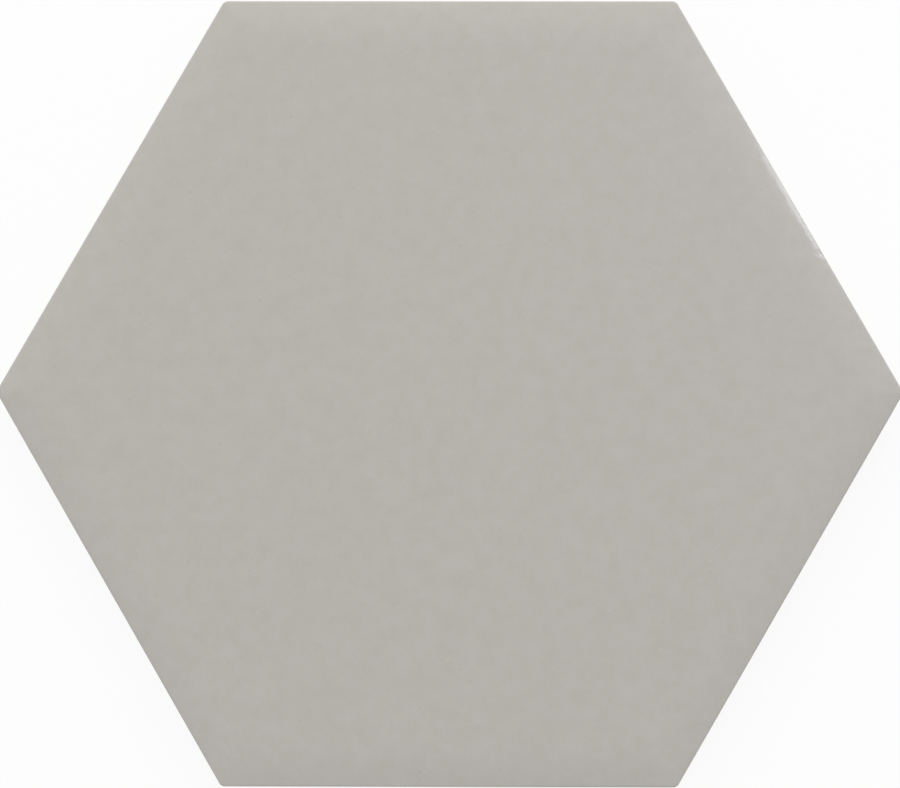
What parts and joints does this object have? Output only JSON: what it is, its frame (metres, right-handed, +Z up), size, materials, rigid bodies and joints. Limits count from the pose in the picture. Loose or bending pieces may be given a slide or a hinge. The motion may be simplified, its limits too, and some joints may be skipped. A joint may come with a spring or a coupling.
{
  "type": "hexagon floor tile",
  "caption": "Glazed hexagonal floor tile with cushioned edges, a rounded rim and a shallow honeycomb key on its underside.",
  "frame": {"origin": "centre of the underside, where the tile rests", "axes": "+Z up, out of the glazed face; +X towards one of the points; +Y towards the middle of one flat side"},
  "size_m": [0.1996, 0.1732, 0.009],
  "materials": {
    "glazed_ceramic": "satin"
  },
  "bodies": {
    "root": {"hexagon_tile": "glazed_ceramic"}
  },
  "joints": []
}
